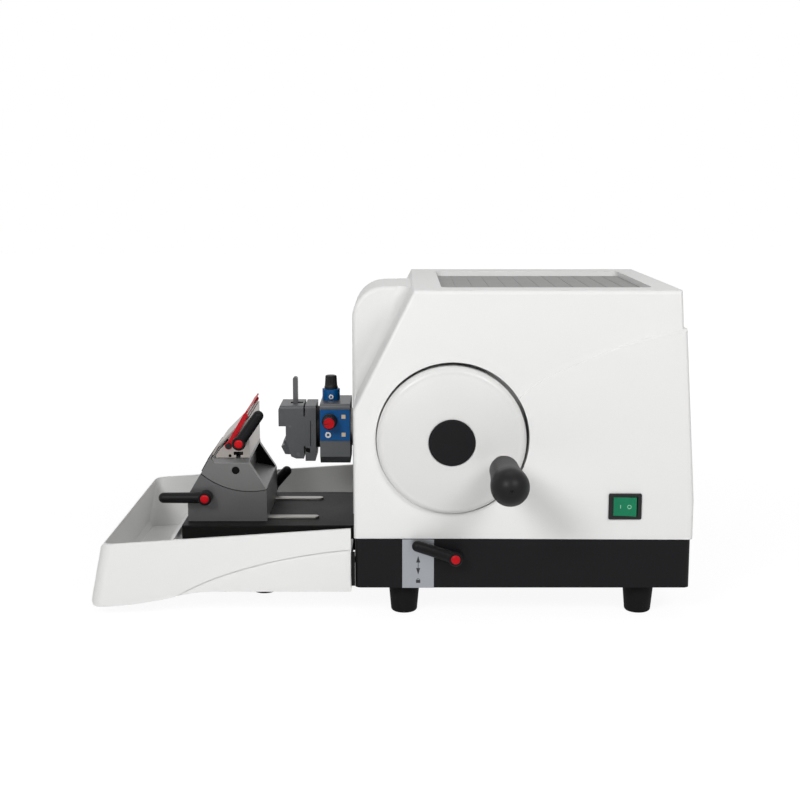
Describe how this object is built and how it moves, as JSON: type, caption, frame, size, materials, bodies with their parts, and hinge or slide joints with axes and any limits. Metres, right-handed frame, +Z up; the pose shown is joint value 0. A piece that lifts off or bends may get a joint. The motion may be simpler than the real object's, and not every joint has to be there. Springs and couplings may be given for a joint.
{
  "type": "rotary microtome",
  "caption": "Rotary microtome with a white housing, side handwheel, specimen head, blade holder and a pull-out waste tray",
  "frame": {"origin": "on the bench under the middle of the instrument's bounding box", "axes": "+X towards the back of the housing, away from the specimen; +Y away from the handwheel side; +Z up"},
  "size_m": [0.588, 0.4559, 0.3207],
  "materials": {
    "black_paint": "satin black powder coat",
    "dark_casting": "fine textured dark grey coat on a casting",
    "steel": "ground and brushed steel",
    "rubber": "dull black moulded rubber",
    "white_shell": "white moulded housing with a soft sheen",
    "grey_mat": "ribbed grey mat",
    "cast_frame": "plain casting",
    "bronze": "sintered bronze",
    "black_plastic": "matt black moulding",
    "white_paint": "white satin coat on a casting",
    "red_plastic": "red moulding",
    "label_plate": "silver grey printed plate",
    "aluminium": "machined aluminium",
    "grey_anodised": "dark grey anodised aluminium",
    "blue_plate": "blue anodised plate",
    "chrome": "polished screw head",
    "holder_metal": "grey coat on ground steel",
    "green_lens": "green rocker lens",
    "board": "green board with parts"
  },
  "bodies": {
    "stand": {"base_casting": "black_paint", "knife_tongue": "black_paint", "tongue_rails": "steel", "rubber_feet": "rubber", "housing_shell": "white_shell", "top_mat": "grey_mat", "housing_screws": "steel", "bearing_frame": "cast_frame", "guide_shafts": "steel", "shaft_bearing": "bronze", "lock_plate": "label_plate", "feed_encoder": "black_plastic", "switch_bezel": "black_plastic", "power_inlet": "black_plastic", "power_supply": "aluminium", "control_board": "board"},
    "wheel": {"handwheel": "white_paint", "handwheel_cap": "black_plastic", "main_shaft": "steel", "crank_disc": "steel", "handle_pin": "steel"},
    "grip": {"handle_grip": "black_plastic"},
    "lock": {"lock_lever": "black_paint"},
    "lock_push": {"lock_button": "red_plastic"},
    "brake": {"brake_rod": "steel"},
    "rocker": {"switch_rocker": "green_lens"},
    "coarse": {"feed_wheel": "black_plastic"},
    "slide": {"vertical_slide": "aluminium", "slot_shield": "steel", "feed_motor": "black_plastic"},
    "spindle": {"feed_screw": "steel"},
    "arm": {"specimen_arm": "steel", "head_block": "grey_anodised", "head_side_plate": "blue_plate", "head_top_collar": "blue_plate", "head_screws": "chrome"},
    "side_adjuster": {"side_knob": "black_plastic", "side_knob_cap": "red_plastic"},
    "top_adjuster": {"top_knob": "black_plastic"},
    "gimbal": {"gimbal_ring": "steel"},
    "clamp": {"clamp_stem": "steel", "clamp_flange": "black_paint", "clamp_back_plate": "grey_anodised", "clamp_body": "grey_anodised"},
    "jaw": {"clamp_jaw": "grey_anodised"},
    "clamp_handle": {"clamp_lever": "dark_casting"},
    "holder": {"holder_base": "holder_metal", "tee_nut": "steel"},
    "foot_clamp": {"foot_lever": "black_plastic"},
    "segment_clamp": {"segment_lever": "black_paint"},
    "segment_push": {"segment_button": "red_plastic"},
    "segment": {"tilt_segment": "holder_metal"},
    "carrier": {"blade_carrier": "steel", "blade": "steel", "guard_pins": "black_plastic"},
    "press_clamp": {"pressure_lever": "black_paint"},
    "press_push": {"pressure_button": "red_plastic"},
    "press": {"pressure_plate": "steel"},
    "guard": {"blade_guard": "red_plastic"},
    "tray": {"waste_tray": "white_shell"}
  },
  "joints": [
    {"name": "handwheel_turn", "type": "hinge", "parent": "stand", "child": "wheel", "pos_m": [0.0593, -0.09, 0.1771], "axis": [0, 1, 0], "continuous": true},
    {"name": "grip_spin", "type": "hinge", "parent": "wheel", "child": "grip", "pos_m": [0.10757, -0.18, 0.1552], "axis": [0, 1, 0], "continuous": true},
    {"name": "wheel_lock", "type": "hinge", "parent": "stand", "child": "lock", "pos_m": [0.0635, -0.11, 0.0628], "axis": [0, -1, 0], "range_deg": [0, 40.1]},
    {"name": "lock_button_push", "type": "slide", "parent": "lock", "child": "lock_push", "axis": [0, 1, 0], "range_m": [0, 0.0025], "stiffness_N_per_m": 400, "springref_m": -0.0005},
    {"name": "brake_lift", "type": "slide", "parent": "stand", "child": "brake", "axis": [0, 0, 1], "range_m": [0, 0.0012]},
    {"name": "power_rocker", "type": "hinge", "parent": "stand", "child": "rocker", "pos_m": [0.2273, -0.10741, 0.1123], "axis": [0, 0, 1], "range_deg": [0, 14]},
    {"name": "coarse_feed_turn", "type": "hinge", "parent": "stand", "child": "coarse", "pos_m": [0.045, 0.2, 0.15], "axis": [0, 1, 0], "continuous": true},
    {"name": "specimen_stroke", "type": "slide", "parent": "stand", "child": "slide", "axis": [0, 0, 1], "range_m": [-0.0205, 0.0495]},
    {"name": "feed_advance", "type": "slide", "parent": "slide", "child": "arm", "axis": [-1, 0, 0], "range_m": [0, 0.014]},
    {"name": "feed_screw_turn", "type": "hinge", "parent": "slide", "child": "spindle", "pos_m": [0.05, 0.043, 0.16264], "axis": [1, 0, 0], "range_deg": [0, 1261]},
    {"name": "head_tilt", "type": "hinge", "parent": "arm", "child": "gimbal", "pos_m": [-0.0582, 0.043, 0.16264], "axis": [0, 1, 0], "range_deg": [-4.5, 4.5]},
    {"name": "head_swivel", "type": "hinge", "parent": "gimbal", "child": "clamp", "pos_m": [-0.0582, 0.043, 0.16264], "axis": [0, 0, 1], "range_deg": [-4.5, 4.5]},
    {"name": "side_knob_turn", "type": "hinge", "parent": "arm", "child": "side_adjuster", "pos_m": [-0.0635, 0, 0.1746], "axis": [0, 1, 0], "range_deg": [-203, 203]},
    {"name": "top_knob_turn", "type": "hinge", "parent": "arm", "child": "top_adjuster", "pos_m": [-0.0635, 0.043, 0.21], "axis": [0, 0, 1], "range_deg": [-203, 203]},
    {"name": "jaw_open", "type": "hinge", "parent": "clamp", "child": "jaw", "pos_m": [-0.0975, 0.043, 0.1371], "axis": [0, -1, 0], "range_deg": [0, 12], "stiffness_Nm_per_rad": 0.6, "springref_deg": -2.86},
    {"name": "clamp_lever_pull", "type": "hinge", "parent": "clamp", "child": "clamp_handle", "pos_m": [-0.1014, 0.043, 0.181], "axis": [0, 1, 0], "range_deg": [0, 20.1]},
    {"name": "holder_slide", "type": "slide", "parent": "stand", "child": "holder", "axis": [-1, 0, 0], "range_m": [-0.01, 0.02]},
    {"name": "foot_clamp_turn", "type": "hinge", "parent": "holder", "child": "foot_clamp", "pos_m": [-0.1345, 0.106, 0.0806], "axis": [0, 1, 0], "range_deg": [0, 40]},
    {"name": "segment_tilt", "type": "hinge", "parent": "holder", "child": "segment", "pos_m": [-0.1448, 0.043, 0.1828], "axis": [0, 1, 0], "range_deg": [-5, 5]},
    {"name": "segment_clamp_turn", "type": "hinge", "parent": "holder", "child": "segment_clamp", "pos_m": [-0.1903, -0.02, 0.1007], "axis": [0, 1, 0], "range_deg": [-20, 45]},
    {"name": "segment_button_push", "type": "slide", "parent": "segment_clamp", "child": "segment_push", "axis": [0, 1, 0], "range_m": [0, 0.0025], "stiffness_N_per_m": 400, "springref_m": -0.0005},
    {"name": "lateral_shift", "type": "slide", "parent": "segment", "child": "carrier", "axis": [0, 1, 0], "range_m": [-0.012, 0.012]},
    {"name": "plate_release", "type": "hinge", "parent": "carrier", "child": "press", "pos_m": [-0.16354, 0.043, 0.1577], "axis": [0, -1, 0], "range_deg": [0, 0.9]},
    {"name": "pressure_lever_turn", "type": "hinge", "parent": "carrier", "child": "press_clamp", "pos_m": [-0.1547, -0.015, 0.1574], "axis": [0, 1, 0], "range_deg": [0, 60.2]},
    {"name": "pressure_button_push", "type": "slide", "parent": "press_clamp", "child": "press_push", "axis": [0, 1, 0], "range_m": [0, 0.0025], "stiffness_N_per_m": 400, "springref_m": -0.0005},
    {"name": "guard_flip", "type": "hinge", "parent": "carrier", "child": "guard", "pos_m": [-0.167, 0.043, 0.1526], "axis": [0, -1, 0], "range_deg": [0, 120]},
    {"name": "tray_pull", "type": "slide", "parent": "stand", "child": "tray", "axis": [-1, 0, 0], "range_m": [0, 0.26]}
  ],
  "couplings": [
    {"joint": "wheel_lock", "follows": "brake_lift", "rad_per_m": 581.78},
    {"joint": "feed_screw_turn", "follows": "feed_advance", "rad_per_m": 1570.8},
    {"joint": "side_knob_turn", "follows": "head_tilt", "ratio": 45},
    {"joint": "top_knob_turn", "follows": "head_swivel", "ratio": 45},
    {"joint": "clamp_lever_pull", "follows": "jaw_open", "ratio": 1.6667},
    {"joint": "pressure_lever_turn", "follows": "plate_release", "ratio": 66.667}
  ]
}
